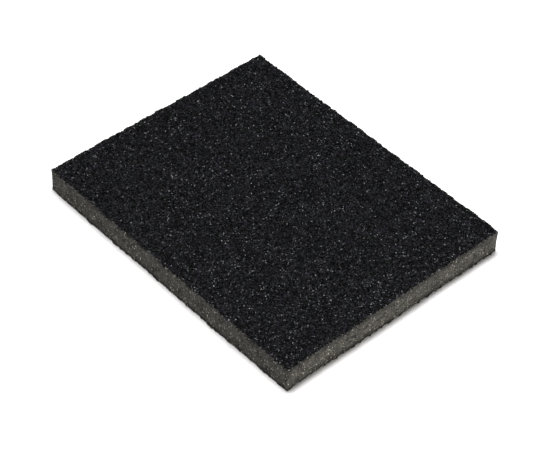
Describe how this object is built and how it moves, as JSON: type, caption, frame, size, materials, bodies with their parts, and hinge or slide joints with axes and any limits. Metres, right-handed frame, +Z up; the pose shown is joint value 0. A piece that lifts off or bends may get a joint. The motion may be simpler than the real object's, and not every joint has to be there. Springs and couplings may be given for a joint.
{
  "type": "flat sanding sponge",
  "caption": "Flat rectangular hand sanding sponge: flexible foam core with coarse dark abrasive grit bonded to both faces.",
  "frame": {"origin": "centre of the bottom abrasive face, on the surface the pad lies on", "axes": "+X along the 125 mm length, +Y along the 100 mm width, +Z up through the thickness"},
  "size_m": [0.125, 0.1, 0.01],
  "materials": {
    "foam": "matte",
    "abrasive": "satin",
    "resin": "satin"
  },
  "bodies": {
    "root": {"foam_core": "foam", "top_make_coat": "resin", "top_abrasive_grains": "abrasive", "top_size_coat": "resin", "bottom_make_coat": "resin", "bottom_abrasive_grains": "abrasive", "bottom_size_coat": "resin"}
  },
  "joints": []
}
